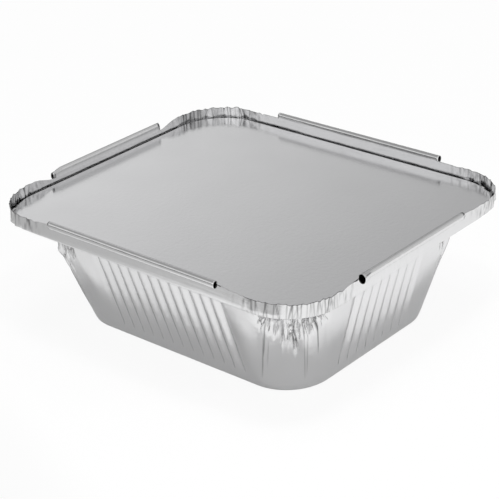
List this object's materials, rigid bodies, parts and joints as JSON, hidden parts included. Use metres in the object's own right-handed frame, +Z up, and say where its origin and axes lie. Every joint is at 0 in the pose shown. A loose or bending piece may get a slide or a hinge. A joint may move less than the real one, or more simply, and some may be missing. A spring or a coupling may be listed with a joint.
{
  "type": "foil food container",
  "caption": "Rectangular foil food container with ribbed leaning walls, a crimped upright flange with rolled beads, and a flat foil-faced board lid lying in it.",
  "frame": {"origin": "centre of the base on the table", "axes": "+X along the long side, +Z up through the lid"},
  "size_m": [0.1452, 0.1258, 0.0484],
  "materials": {
    "foil": "bright rolled foil",
    "lid_board": "satin foil face on board"
  },
  "bodies": {
    "root": {"tray": "foil", "lid": "lid_board"}
  },
  "joints": []
}
